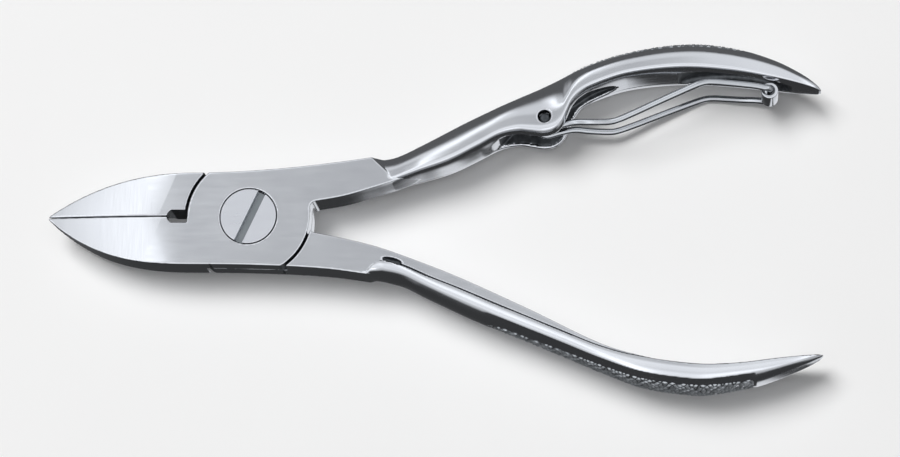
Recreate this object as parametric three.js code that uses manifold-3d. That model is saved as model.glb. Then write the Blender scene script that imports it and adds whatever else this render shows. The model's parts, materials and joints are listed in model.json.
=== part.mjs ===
// Lap-joint nipper, lying on its side: jaws toward -X, handles toward +X, pivot axis along Z.
// Millimetres. The halves are drawn about the pivot, then the whole is set down on its resting plane.
import * as THREE from 'three';
import { mergeVertices } from 'three/addons/utils/BufferGeometryUtils.js';
import Module from 'manifold-3d';

// lap joint
const plateHalf = 2.9;        // half the thickness of the joint
const lapGap = 0.1;           // each layer stands this far off the middle plane
const plateRadius = 9.5;      // round end of each plate
const shoulderRadius = 9.9;   // round shoulder that faces the other half's plate
const crotchHeight = 1.7;     // where the plate's round end meets the inner edge of the handle
const beyond = 6;             // a height clear of every face, for cutting tools

// jaws
const tipX = -31.7;
const jawEnd = -7.7;          // where the jaw's outer edge has become level
const cutGap = 0.05;          // each cutting edge stands this far off the middle line
const pocketStart = -12.6;    // relief pocket between the jaws and the plate
const pocketHalf = 1.0;
const pocketCorner = 0.6;     // bevel where the pocket meets the cutting edges
const grindStart = -14;       // where the ground front of the jaws begins, beside the middle line
const grindTurn = THREE.MathUtils.degToRad(21);
const grindDepth = 1.2;       // how far the ground front has dropped where its cut ends
const backStart = -23;        // where the back of the jaws begins to rise
const backRise = 2.5;         // how far it has risen where its cut ends
const pastTip = 3.5;          // how far the grinding cuts run beyond the tip
const hollow = 1.7;           // how far the back of each jaw is hollowed beside the cutting edge
const edgeLand = 1.2;         // height above the middle plane where the hollow begins

// screw
const headRadius = 4.3;
const headSeat = 1.1;         // height of the underside of the head
const shankRadius = 2.6;
const screwClearance = 0.15;
const slotWidth = 1.25;
const slotDepth = 0.9;
const slotAngle = THREE.MathUtils.degToRad(66.5);
const slotOffset = 0.3;

// spring seat in the lug
const pinX = 45.3;
const pinY = 15.4;
const pinRadius = 0.8;
const pinHoleRadius = 1.0;
const pinHalf = 3.4;
const seatHalf = 2.5;         // half the width of the slot that holds the spring's eyes

// spring and roller
const wireRadius = 0.5;
const eyeRadius = 1.4;        // middle line of the wire round the pin
const eyeTurns = 0.9;
const eyeInner = 0.62;        // height of the eye's free end above the middle plane
const eyeOuter = 1.7;         // height where the leg leaves the eye
const legBend = 0.75;         // radius of the bend into the roller
const rollerX = 79.5;
const rollerY = 20.0;
const rollerRadius = 1.3;
const rollerBore = 0.75;
const rollerHalf = 2.25;

// edges of the handles as x, y points
const jawUpper = { depth: 6.95, power: 2.4 };
const jawLower = { depth: 7.6, power: 2.8 };
const topEdge = [[-7.7, 6.95], [-1.6, 7.15], [6.2, 7.75], [13.9, 8.65], [18.7, 9.35]];
const bottomEdge = [[-7.7, -7.6], [-1.6, -7.65], [6.4, -7.9], [13, -8.35], [18.5, -9.1]];
const upperOuter = [[12, 8.4], [18.7, 9.4], [22.4, 9.9], [26.3, 11.7], [33.3, 15.5], [43, 20.2],
  [51.8, 24.5], [59.7, 26.75], [67.5, 27.65], [74.3, 26.9], [80.2, 25], [85, 22.5], [87.3, 20.7]];
const upperInner = [[9.6, 2.3], [14.6, 3.2], [20, 4.8], [26.3, 6.7], [30.9, 8.2], [35.4, 10.5],
  [38.5, 12.2], [41.2, 12.8], [43.2, 12.6], [45, 12.4], [46.8, 12.8], [48, 13.9], [48.7, 15.5],
  [49.4, 17.2], [50.5, 18.6], [52.6, 19.9], [57.9, 21.7], [65.7, 22.55], [73, 22.2], [80, 21.3],
  [87.3, 20.2]];
const upperHalf = [[9.6, 2.9], [17, 2.9], [21, 3.5], [26, 4], [32, 4.3], [45, 4.4], [60, 4.8],
  [68, 4.9], [75, 4.6], [80, 3.9], [84, 2.9], [86.4, 1.8], [87.3, 1]];
const lowerOuter = [[10, -8.1], [18.5, -9.1], [21.2, -9.55], [24, -10.3], [26.9, -11.75],
  [35.2, -15.65], [48.1, -20.9], [54.3, -23.5], [60.4, -25.8], [66.6, -26.8], [70, -26.9],
  [75.7, -25.9], [78.8, -25.1], [84.8, -22.6], [87.4, -21.2]];
const lowerInner = [[9.9, -2.5], [15.1, -3.55], [20.3, -4.9], [25.4, -6.7], [32.7, -9.6],
  [43.6, -14.6], [54.4, -19.8], [60.5, -21.6], [66.6, -22.6], [72.7, -22.7], [80, -22]];
const ribInner = [[18.5, -8.8], [19.6, -7.5], [21, -7], [24.4, -8], [28.3, -9.7], [32.6, -11.4],
  [39, -14.1], [48.2, -17.9], [54.2, -20.3], [60.2, -21.85], [69.1, -23], [75, -22.75], [80, -22],
  [87.4, -20.9]];
const ribHalf = [[18.5, 3], [20, 3.7], [24, 4.1], [32, 4.3], [45, 4.5], [60, 4.8], [68, 4.9],
  [75, 4.6], [80, 3.9], [84, 2.9], [86.4, 1.8], [87.4, 1]];
const flangeEnd = 76;         // the flat strip beside the lower rib has run out here
const channelDepth = [[65, 0.1], [67.5, 1.1], [72, 1.9], [78, 1.9], [80.6, 1.4]];
const channelHalf = [[65, 2.6], [70, 3.3], [78, 2.7], [80.6, 2.3]];
const seatOutline = [[36.9, 10.4], [38.1, 12.4], [41.2, 15.8], [43.3, 17.6], [45.3, 18.1],
  [48.6, 18.7], [51.6, 20.6], [53.5, 21.3], [55.4, 21.4], [56, 20.8], [56, 18], [50, 10]];

// one leg of the spring as x, y points, and half the spread of the two legs
const springLeg = [[45.3, 14], [46.5, 14.2], [48.2, 14.85], [49.5, 15.03], [52, 14.95], [55, 14.9],
  [56.2, 15.1], [58.2, 15.87], [61.7, 17.4], [65.4, 19], [68.8, 20.4], [70.2, 20.72], [72, 20.65],
  [75.2, 20.4], [79.5, 20]];
const legSpread = [[45.3, 1.7], [48.8, 1.9], [52, 2.4], [56, 2.8], [60, 3.3], [65, 3.9], [69, 4.3],
  [72, 4.2], [75.2, 4], [79.5, 3.4]];

const wasm = await Module();
wasm.setup();

function toSolid(geometry) {
  const bare = geometry.index ? geometry.toNonIndexed() : geometry.clone();
  bare.deleteAttribute('normal');
  bare.deleteAttribute('uv');
  const merged = mergeVertices(bare, 1e-5);
  const vertProperties = new Float32Array(merged.attributes.position.array);
  const triVerts = new Uint32Array(merged.index.array);
  return new wasm.Manifold(new wasm.Mesh({ numProp: 3, vertProperties, triVerts }));
}

function toGeometry(solid) {
  const mesh = solid.getMesh();
  const geometry = new THREE.BufferGeometry();
  geometry.setAttribute('position', new THREE.BufferAttribute(mesh.vertProperties, 3));
  geometry.setIndex(new THREE.BufferAttribute(mesh.triVerts, 1));
  return geometry;
}

// smooth y = f(x) through a list of points
function through(points) {
  const slope = points.map((p, i) => {
    const a = points[Math.max(i - 1, 0)];
    const b = points[Math.min(i + 1, points.length - 1)];
    return (b[1] - a[1]) / (b[0] - a[0]);
  });
  return (x) => {
    let i = points.findIndex((p) => p[0] > x) - 1;
    if (i < -1) i = points.length - 2;
    if (i < 0) i = 0;
    const [x0, y0] = points[i];
    const [x1, y1] = points[i + 1];
    const span = x1 - x0;
    const t = THREE.MathUtils.clamp((x - x0) / span, 0, 1);
    const u = 1 - t;
    return y0 * (1 + 2 * t) * u * u + slope[i] * span * t * u * u
      + y1 * (3 - 2 * t) * t * t - slope[i + 1] * span * t * t * u;
  };
}

// a bar made of rounded slices across X; roundness is the power of the slice's inner and outer side
function bar(xs, inner, outer, half, roundness, sides = 24) {
  const positions = [];
  const index = [];
  for (const x of xs) {
    const low = inner(x);
    const high = outer(x);
    const middle = (low + high) / 2;
    const reach = (high - low) / 2;
    for (let i = 0; i < sides; i += 1) {
      const angle = (2 * Math.PI * i) / sides;
      const s = Math.sin(angle);
      const c = Math.cos(angle);
      const power = s < 0 ? roundness[0] : roundness[1];
      const y = middle + reach * Math.sign(s) * Math.abs(s) ** (2 / power);
      const z = half(x) * Math.sign(c) * Math.abs(c) ** (2 / roundness[2]);
      positions.push(x, y, z);
    }
  }
  const last = (xs.length - 1) * sides;
  for (let r = 0; r < last; r += sides) {
    for (let i = 0; i < sides; i += 1) {
      const j = (i + 1) % sides;
      index.push(r + i, r + sides + i, r + sides + j);
      index.push(r + i, r + sides + j, r + j);
    }
  }
  for (let i = 1; i < sides - 1; i += 1) {
    index.push(0, i, i + 1);
    index.push(last, last + i + 1, last + i);
  }
  const geometry = new THREE.BufferGeometry();
  geometry.setAttribute('position', new THREE.Float32BufferAttribute(positions, 3));
  geometry.setIndex(index);
  return toSolid(geometry);
}

function steps(start, end, count) {
  return Array.from({ length: count + 1 }, (_, i) => start + ((end - start) * i) / count);
}

function slab(points, bottom, top) {
  const shape = new THREE.Shape(points.map(([x, y]) => new THREE.Vector2(x, y)));
  const geometry = new THREE.ExtrudeGeometry(shape, { depth: top - bottom, bevelEnabled: false });
  return toSolid(geometry.translate(0, 0, bottom));
}

function disc(radius, bottom, top, x = 0, y = 0, sides = 72) {
  const geometry = new THREE.CylinderGeometry(radius, radius, top - bottom, sides);
  geometry.rotateX(Math.PI / 2);
  return toSolid(geometry.translate(x, y, (top + bottom) / 2));
}

// a block across Y with the given x, z outline, turned about Z at its first point
function crossBlock(points, bottom, top, turn) {
  const [x0] = points[0];
  const shape = new THREE.Shape(points.map(([x, z]) => new THREE.Vector2(x - x0, z)));
  const geometry = new THREE.ExtrudeGeometry(shape, { depth: top - bottom, bevelEnabled: false });
  geometry.rotateX(Math.PI / 2).translate(0, top, 0).rotateZ(turn).translate(x0, 0, 0);
  return toSolid(geometry);
}

function arc(radius, from, to, count) {
  return steps(from, to, count).map((a) => [radius * Math.cos(a), radius * Math.sin(a)]);
}

function jawEdge({ depth, power }, side) {
  return steps(0, 1, 14).map((t) => [tipX + (jawEnd - tipX) * t,
    side * Math.max(depth * (1 - (1 - t) ** power), cutGap)]);
}

// flat outline of one half: jaw on one side, round plate end, and the root of the handle opposite
function halfOutline(jaw, side, jawSideEdge, handleSideEdge, innerEdge, rootEnd) {
  const jawSide = through(jawSideEdge);
  const handleSide = through(handleSideEdge);
  const inner = through(innerEdge);
  const cornerX = 0.6 * plateRadius;
  const plateCorner = Math.asin(Math.abs(jawSide(cornerX)) / plateRadius);
  const farCorner = Math.PI - Math.asin(Math.abs(handleSide(-cornerX)) / plateRadius);
  const crotchAngle = Math.asin(crotchHeight / plateRadius);
  const pocketAngle = Math.PI - Math.asin(pocketHalf / plateRadius);
  const flip = ([x, y]) => [x, -side * y];
  const lower = steps(jawEnd, plateRadius * Math.cos(plateCorner), 5).slice(1, -1);
  const upper = steps(rootEnd, plateRadius * Math.cos(farCorner), 7).slice(0, -1);
  return [
    ...jawEdge(jaw, side),
    ...lower.map((x) => [x, jawSide(x)]),
    ...arc(plateRadius, -plateCorner, crotchAngle, 16).map(flip),
    ...steps(1.1 * plateRadius, rootEnd, 6).map((x) => [x, inner(x)]),
    ...upper.map((x) => [x, handleSide(x)]),
    ...arc(plateRadius, farCorner, pocketAngle, 9).map(flip),
    [-plateRadius, side * pocketHalf],
    [pocketStart + pocketCorner, side * pocketHalf],
    [pocketStart, side * cutGap],
  ];
}

// ground front, raised back near the tip, and the hollow that leaves a cutting edge
function shapeJaw(half, side) {
  const end = tipX - pastTip;
  const wide = 2 * beyond;
  const grind = crossBlock([[grindStart, plateHalf], [end, plateHalf - grindDepth],
    [end, beyond], [grindStart, beyond]], -wide, wide, -side * grindTurn);
  const back = crossBlock([[backStart, -plateHalf], [backStart, -beyond], [end, -beyond],
    [end, backRise - plateHalf]], -wide, wide, 0);
  const hollowShape = new THREE.Shape([
    new THREE.Vector2(0, edgeLand),
    new THREE.Vector2(side * hollow, -beyond),
    new THREE.Vector2(-side * hollow, -beyond),
    new THREE.Vector2(-side * hollow, edgeLand),
  ]);
  const settings = { depth: pocketStart + pocketCorner - end, bevelEnabled: false };
  const hollowing = new THREE.ExtrudeGeometry(hollowShape, settings);
  hollowing.rotateX(Math.PI / 2).rotateZ(Math.PI / 2).translate(end, side * cutGap, 0);
  return half.subtract(grind).subtract(back).subtract(toSolid(hollowing));
}

function shankHole() {
  return disc(shankRadius + screwClearance, -beyond, beyond, 0, 0, 48);
}

function frontHalf() {
  const root = halfOutline(jawLower, -1, bottomEdge, topEdge, upperInner, topEdge.at(-1)[0]);
  const inner = through(upperInner);
  const xs = [...steps(15, 36, 12), ...steps(37.5, 47, 8), ...steps(47.6, 51, 7),
    ...steps(53, 83, 14), 84.5, 86, 86.8, 87.3];
  const handle = bar(xs, inner, through(upperOuter), through(upperHalf), [3.4, 2.3, 3]);
  const mouth = (x) => inner(x) - 1;
  const floor = (x) => inner(x) + through(channelDepth)(x);
  const channel = bar(steps(65.5, 80.5, 8), mouth, floor, through(channelHalf), [2, 2, 2.4], 16);
  let half = shapeJaw(slab(root, -plateHalf, plateHalf), -1);
  half = half.add(handle).subtract(channel);
  half = half.subtract(slab(seatOutline, -seatHalf, seatHalf));
  half = half.subtract(disc(shoulderRadius, -beyond, lapGap)).subtract(shankHole());
  half = half.subtract(disc(headRadius + screwClearance, headSeat - screwClearance, beyond));
  return half.subtract(disc(pinHoleRadius, -beyond, beyond, pinX, pinY, 24));
}

function backHalf() {
  const root = halfOutline(jawUpper, 1, topEdge, bottomEdge, lowerInner, bottomEdge.at(-1)[0]);
  const outer = through(lowerOuter);
  const ribEdge = through(ribInner);
  const flangeOuter = (x) => (ribEdge(x) + outer(x)) / 2;
  const flange = bar(steps(17, flangeEnd, 22), flangeOuter, flangeInner, () => plateHalf, [8, 8, 12], 20);
  const xs = [18.9, 19.5, 20.2, ...steps(21.5, 83, 26), 84.5, 86, 86.8, 87.4];
  const rib = bar(xs, outer, ribEdge, through(ribHalf), [2.3, 3.2, 3]);
  let half = shapeJaw(slab(root, -plateHalf, plateHalf), 1);
  half = half.add(flange).add(rib);
  return half.subtract(disc(shoulderRadius, -lapGap, beyond)).subtract(shankHole());
}

// the strip's inner edge sinks into the rib toward its end
function flangeInner(x) {
  return through(lowerInner)(x) - 0.3 * THREE.MathUtils.smoothstep(x, flangeEnd - 10, flangeEnd);
}

function pivotScrew() {
  const profile = [[0, -plateHalf], [shankRadius, -plateHalf], [shankRadius, headSeat],
    [headRadius, headSeat], [headRadius, plateHalf], [0, plateHalf]];
  const turned = new THREE.LatheGeometry(profile.map(([r, z]) => new THREE.Vector2(r, z)), 48);
  turned.rotateX(Math.PI / 2);
  const slot = new THREE.BoxGeometry(3 * headRadius, slotWidth, 2 * slotDepth);
  slot.translate(0, -slotOffset, plateHalf).rotateZ(slotAngle);
  return toSolid(turned).subtract(toSolid(slot));
}

function springPin() {
  return disc(pinRadius, -pinHalf, pinHalf, pinX, pinY, 24);
}

// half of the spring's middle line: eye round the pin, leg, and the bend into the roller
function springLine() {
  const points = [];
  const start = -Math.PI / 2 - 2 * Math.PI * eyeTurns;
  for (const t of steps(0, 1, 22)) {
    const angle = start + 2 * Math.PI * eyeTurns * t;
    points.push(new THREE.Vector3(pinX + eyeRadius * Math.cos(angle), pinY + eyeRadius * Math.sin(angle),
      eyeInner + (eyeOuter - eyeInner) * t));
  }
  const leg = through(springLeg);
  const spread = through(legSpread);
  const bendStart = rollerX - 2 * legBend;
  const stations = [47.5, 49.5, 52, ...steps(54, 57, 4), 58.2, 61.7, 65.4, ...steps(68, 71, 3), 73, 75.2];
  for (const x of [...stations, bendStart]) {
    points.push(new THREE.Vector3(x, leg(x), spread(x)));
  }
  const end = rollerX - legBend;
  for (const a of steps(0, Math.PI / 2, 5)) {
    points.push(new THREE.Vector3(end + legBend * Math.sin(a), rollerY,
      spread(end) - legBend + legBend * Math.cos(a)));
  }
  return points;
}

// a closed round tube along a list of points
function wire(points, radius, sides) {
  const circle = new THREE.Shape();
  circle.absarc(0, 0, radius, 0, 2 * Math.PI);
  const path = new THREE.CatmullRomCurve3(points);
  const settings = { extrudePath: path, steps: 190, curveSegments: sides / 2, bevelEnabled: false };
  return new THREE.ExtrudeGeometry(circle, settings);
}

function spring() {
  const half = springLine();
  const other = half.map((p) => new THREE.Vector3(p.x, p.y, -p.z)).reverse();
  return toSolid(wire([...half, ...other], wireRadius, 8));
}

function roller() {
  const profile = [[rollerBore, -rollerHalf], [rollerRadius, -rollerHalf], [rollerRadius, rollerHalf],
    [rollerBore, rollerHalf], [rollerBore, -rollerHalf]];
  const tube = new THREE.LatheGeometry(profile.map(([r, z]) => new THREE.Vector2(r, z)), 24);
  tube.rotateX(Math.PI / 2).translate(rollerX, rollerY, 0);
  return toSolid(tube);
}

const group = new THREE.Group();

function addPiece(name, solid, color, roughness) {
  const material = new THREE.MeshStandardMaterial({ color, roughness, metalness: 1 });
  const mesh = new THREE.Mesh(toGeometry(solid), material);
  mesh.name = name;
  group.add(mesh);
}

addPiece('front_half', frontHalf(), 0xc4c8cc, 0.25);
addPiece('back_half', backHalf(), 0xc4c8cc, 0.25);
addPiece('pivot_screw', pivotScrew(), 0xbfc3c7, 0.3);
addPiece('spring_pin', springPin(), 0x9da1a5, 0.35);
addPiece('wire_spring', spring(), 0xa9adb1, 0.22);
addPiece('roller', roller(), 0xb4b8bc, 0.25);

// origin under the middle of the whole, on the resting plane
const box = new THREE.Box3().setFromObject(group);
const middle = box.getCenter(new THREE.Vector3());
group.position.set(-middle.x, -middle.y, -box.min.z);

export default group;
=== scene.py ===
import json
import math
import time

import bmesh
import bpy
import numpy as np
from mathutils import Matrix, Vector


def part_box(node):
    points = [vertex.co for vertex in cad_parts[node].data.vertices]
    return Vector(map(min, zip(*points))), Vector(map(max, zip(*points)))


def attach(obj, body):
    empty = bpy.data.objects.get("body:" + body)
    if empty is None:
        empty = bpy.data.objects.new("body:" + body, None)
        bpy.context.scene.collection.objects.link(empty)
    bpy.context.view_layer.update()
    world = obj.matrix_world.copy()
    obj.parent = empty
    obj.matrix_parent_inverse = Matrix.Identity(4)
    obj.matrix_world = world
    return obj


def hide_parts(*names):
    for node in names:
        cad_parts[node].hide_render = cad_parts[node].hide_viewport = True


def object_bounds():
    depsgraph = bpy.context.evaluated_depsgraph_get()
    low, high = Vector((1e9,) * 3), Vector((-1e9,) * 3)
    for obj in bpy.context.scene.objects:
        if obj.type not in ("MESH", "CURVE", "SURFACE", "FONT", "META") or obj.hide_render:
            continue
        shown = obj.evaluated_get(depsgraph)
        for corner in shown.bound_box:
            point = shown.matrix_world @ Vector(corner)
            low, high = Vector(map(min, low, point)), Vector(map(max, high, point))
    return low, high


# Lap-joint nipper. Sizes in the dictionaries are millimetres from the pivot: x toward the handle tips,
# y toward the handle with the spring, z toward the front face. Meshes turn them into metres at the end.

startTime = time.time()
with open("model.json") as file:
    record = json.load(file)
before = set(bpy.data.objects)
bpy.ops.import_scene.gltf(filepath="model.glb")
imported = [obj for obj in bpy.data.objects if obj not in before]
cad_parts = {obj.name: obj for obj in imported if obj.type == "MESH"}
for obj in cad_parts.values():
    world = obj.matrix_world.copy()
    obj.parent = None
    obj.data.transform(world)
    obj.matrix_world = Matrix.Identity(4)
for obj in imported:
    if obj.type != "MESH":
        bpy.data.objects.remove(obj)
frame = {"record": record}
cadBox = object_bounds()
jointPlace = {joint["name"]: joint["pos_m"] for joint in frame["record"]["behaviour"]["joints"]}
pivot = np.array(jointPlace["jaw_pivot"])
mm = 0.001
tiny = 1e-6  # stands in for zero in a division


def report(text):
    print(f"[{time.time() - startTime:5.1f} s] {text}")


def fromPivot(place):
    return (np.array(place) - pivot) / mm


def sizeOf(node):  # low and high corner of a frame node, in millimetres from the pivot
    return [fromPivot(corner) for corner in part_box(node)]


screwHigh = sizeOf("pivot_screw")[1]
pinLow, pinHigh = sizeOf("spring_pin")
rollerLow, rollerHigh = sizeOf("roller")
plateHalf = float(screwHigh[2])  # half the thickness of the joint
headRadius = float(screwHigh[0])
pinCentre = fromPivot(jointPlace["spring_fold"])
rollerCentre = fromPivot(jointPlace["roller_spin"])

# camera
camera = {
    "aim": (31.15, -2.0, 2.9),  # mm from the pivot
    "direction": (0.105, -0.265, 1.0),  # from the aim toward the camera
    "distance": 456,
    "lens": 120,
    "clip": (0.01, 10),  # metres
}


def addCamera():
    toward = Vector(camera["direction"]).normalized()
    right = (Vector((1, 0, 0)) - toward * toward.x).normalized()
    up = toward.cross(right)
    place = Vector(pivot) + mm * (Vector(camera["aim"]) + camera["distance"] * toward)
    data = bpy.data.cameras.new("camera")
    data.lens = camera["lens"]
    data.clip_start, data.clip_end = camera["clip"]
    obj = bpy.data.objects.new("camera", data)
    obj.matrix_world = Matrix.Translation(place) @ Matrix((right, up, toward)).transposed().to_4x4()
    bpy.context.scene.collection.objects.link(obj)
    bpy.context.scene.camera = obj


# curves and fields: a field is below zero inside the steel and roughly a distance in millimetres


def through(points):  # smooth y of x through a list of points, level beyond its ends
    xs, ys = (np.array(column, dtype=float) for column in zip(*points))
    slopes = np.gradient(ys, xs)
    slopes[1:-1] = (ys[2:] - ys[:-2]) / (xs[2:] - xs[:-2])

    def curve(x):
        i = np.clip(np.searchsorted(xs, x) - 1, 0, len(xs) - 2)
        span = xs[i + 1] - xs[i]
        t = np.clip((x - xs[i]) / span, 0, 1)
        u = 1 - t
        start = ys[i] * (1 + 2 * t) + slopes[i] * span * t
        end = ys[i + 1] * (3 - 2 * t) - slopes[i + 1] * span * u
        return start * u * u + end * t * t

    return curve


def slopeOf(curve, x, reach=0.05):
    return (curve(x + reach) - curve(x - reach)) / (2 * reach)


def above(curve, x, y):  # how far y stands over the curve
    return (y - curve(x)) / np.sqrt(1 + slopeOf(curve, x) ** 2)


def join(a, b, radius=0.0):
    blend = np.maximum(radius - np.abs(a - b), 0) / np.maximum(radius, tiny)
    return np.minimum(a, b) - blend * blend * radius / 4


def meet(a, b, radius):
    return -join(-a, -b, radius)


def cut(body, tool, radius):
    return meet(body, -tool, radius)


def outside(x, start, end):
    return np.maximum(start - x, x - end)


def edgeOf(part, name, turn):  # one of a half's curves, with y turned over for the rear half
    return through([(x, turn * y) for x, y in part[name]])


def softened(away, bend=1.5):  # zero up to the crest, then a slope of one that comes in gently
    away = away.clip(0)
    return np.where(away < bend, away ** 2 / (2 * bend), away - bend / 2)


slices = {
    "thinnest": 0.05,  # least distance from a slice's crest to its side
    "flattest": 0.35,  # least steepness of the field, felt in the middle of a slice
    "lean": 0.5,  # how much a slanting handle counts in that steepness
}


def bar(x, y, z, inner, outer, half, powers, crest, tilt):  # rounded slices, sloping away outside the crest
    low, high = inner(x), outer(x)
    middle, width = low + crest * (high - low), half(x)
    turn = np.sign(high - low)
    away = (y - middle) * turn
    reach = np.where(away < 0, (middle - low) * turn, (high - middle) * turn)
    reach = np.maximum(reach, slices["thinnest"])
    side = np.abs(away) / reach
    power = np.where(away < 0, powers[0], powers[1])
    level = (np.abs(z) + tilt * softened(away)) / width
    across = np.where((away < 0) & (z < 0), powers[3], powers[2])
    lean = np.sqrt(1 + slopeOf(inner, x) * slopeOf(outer, x).clip(0) * slices["lean"])
    steep = np.hypot(power * side ** (power - 1) / reach * lean, across * level ** (across - 1) / width)
    return (side ** power + level ** across - 1) / np.maximum(steep, slices["flattest"])


# meshes


def addMesh(name, points, faces, normals=None):
    mesh = bpy.data.meshes.new(name)
    mesh.from_pydata((np.asarray(points) * mm + pivot).tolist(), [], [list(face) for face in faces])
    mesh.shade_smooth()
    if normals is not None:
        mesh.normals_split_custom_set_from_vertices(np.asarray(normals).tolist())
    obj = bpy.data.objects.new(name, mesh)
    bpy.context.scene.collection.objects.link(obj)
    return obj


def gradientOf(field, points, step=0.02):
    total = np.zeros_like(points)
    for corner in ((1, -1, -1), (-1, -1, 1), (-1, 1, -1), (1, 1, 1)):
        corner = np.array(corner, dtype=float)
        value = field(*(points + corner * step).T)
        total += value[:, None] * corner
    return total / (4 * step)


def crossingMeans(values, place):  # in each cell, the mean of the crossings on its edges
    total = np.zeros((len(place), 3))
    hits = np.zeros(len(place))
    units = np.eye(3, dtype=int)
    for axis in range(3):
        u, v = units[axis - 2], units[axis - 1]
        for start in (0 * u, u, v, u + v):
            a = values[tuple((place + start).T)]
            b = values[tuple((place + start + units[axis]).T)]
            crossed = (a < 0) != (b < 0)
            t = np.where(crossed, a / np.where(crossed, a - b, 1), 0)
            total[crossed] += (start + t[:, None] * units[axis])[crossed]
            hits[crossed] += 1
    return total / hits[:, None]


def crossingFaces(inside, index):  # one quad round every grid edge that passes through the surface
    size = inside.shape
    units = np.eye(3, dtype=int)
    faces = []
    for axis in range(3):
        u, v = units[axis - 2], units[axis - 1]
        near = inside.take(range(size[axis] - 1), axis)
        at = np.argwhere(near != inside.take(range(1, size[axis]), axis))
        inner = [(at[:, k] > 0) & (at[:, k] < size[k] - 1) for k in range(3) if k != axis]
        at = at[inner[0] & inner[1]]
        ring = np.stack([index[tuple((at - step).T)] for step in (u + v, v, 0 * u, u)], axis=1)
        outward = near[tuple(at.T)]
        faces.append(np.where(outward[:, None], ring, ring[:, ::-1]))
    return np.concatenate(faces)


def pulled(field, points, cell, rounds=3, leastSteep=0.05):  # points moved onto the exact surface
    for _ in range(rounds):
        slope = gradientOf(field, points)
        step = field(*points.T) / np.maximum((slope ** 2).sum(1), leastSteep)
        points = points - slope * np.clip(step, -cell, cell)[:, None]
    return points


def skinOf(name, field, low, high, cell):  # the surface where a field is zero, as a mesh of quads
    axes = [np.arange(a, b + cell, cell) for a, b in zip(low, high)]
    values = field(axes[0][:, None, None], axes[1][None, :, None], axes[2][None, None, :])
    inside = values < 0
    size = inside.shape
    corners = [inside[i:size[0] - 1 + i, j:size[1] - 1 + j, k:size[2] - 1 + k]
               for i in (0, 1) for j in (0, 1) for k in (0, 1)]
    count = sum(corner.astype(np.int8) for corner in corners)
    active = (count > 0) & (count < len(corners))
    place = np.argwhere(active)
    index = np.full(active.shape, -1)
    index[active] = np.arange(len(place))
    points = np.array([axis[0] for axis in axes]) + (place + crossingMeans(values, place)) * cell
    points = pulled(field, points, cell)
    normals = gradientOf(field, points)
    normals /= np.linalg.norm(normals, axis=1)[:, None]
    obj = addMesh(name, points, crossingFaces(inside, index), normals)
    report(f"{name}: {len(points)} points")
    return obj


def paint(obj, materials, choose):  # one material per face, chosen from its middle and normal
    mesh = obj.data
    for material in materials:
        mesh.materials.append(material)
    middle = np.empty(len(mesh.polygons) * 3)
    normal = np.empty(len(mesh.polygons) * 3)
    mesh.polygons.foreach_get("center", middle)
    mesh.polygons.foreach_get("normal", normal)
    middle = fromPivot(middle.reshape(-1, 3))
    chosen = choose(*middle.T, *normal.reshape(-1, 3).T)
    mesh.polygons.foreach_set("material_index", chosen.astype(np.int32))


# the two halves of the lap joint
joint = {
    "lapGap": 0.04,  # each layer stands this far off the middle plane
    "plateRadius": 9.5,
    "shoulderRadius": 9.9,
    "holeClearance": 0.15,
    "headSeat": 1.1,
    "shankRadius": 2.6,
    "edge": 0.2,  # rounding of the outer edges
    "lapEdge": 0.12,  # rounding where the layers overlap
    "handleLapEdge": 0.05,  # the same where the handle with the spring is kept out of the overlap
    "holeEdge": 0.1,
    "crotch": 1.4,  # rounding where the handle leaves the plate
    "jawEnd": -2,  # the jaw's share of a half ends here
    "handleStart": 2,  # the handle's share starts here
    "root": (19, 30),  # the plate sinks into the handle from here on, and ends here
    "fallSpan": 1.5,  # width over which the plate's end goes from inner to outer slope
}

jaws = {
    "tip": -31.7,
    "end": -7.7,
    "cutGap": 0.04,
    "keen": 0.16,  # rounding left on the edges of the jaws
    "pocket": (-12.6, -9.5, 1.0),  # start, end and half height of the relief pocket
    "pocketCorner": (0.45, 0.7),  # half height of its flat start, and steepness of the slants
    "pocketRound": (0.1, 0.06),  # rounding of its corners and of its rim
    "bladeLap": 0.4,  # the cutting edges run on this far past the pocket's start
    "grindStart": -14,
    "grindTurn": 21,  # degrees between the ground face's edge and the cross line
    "grindDrop": (0.044, 0.0021),  # slope and bend of the ground face
    "backRise": (-23, 0.2),  # where the back starts to rise toward the tip, and how steeply
    "edgeLand": 1.2,  # the jaws part below this height, at the slope named next
    "hollow": 0.274,
}

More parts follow.
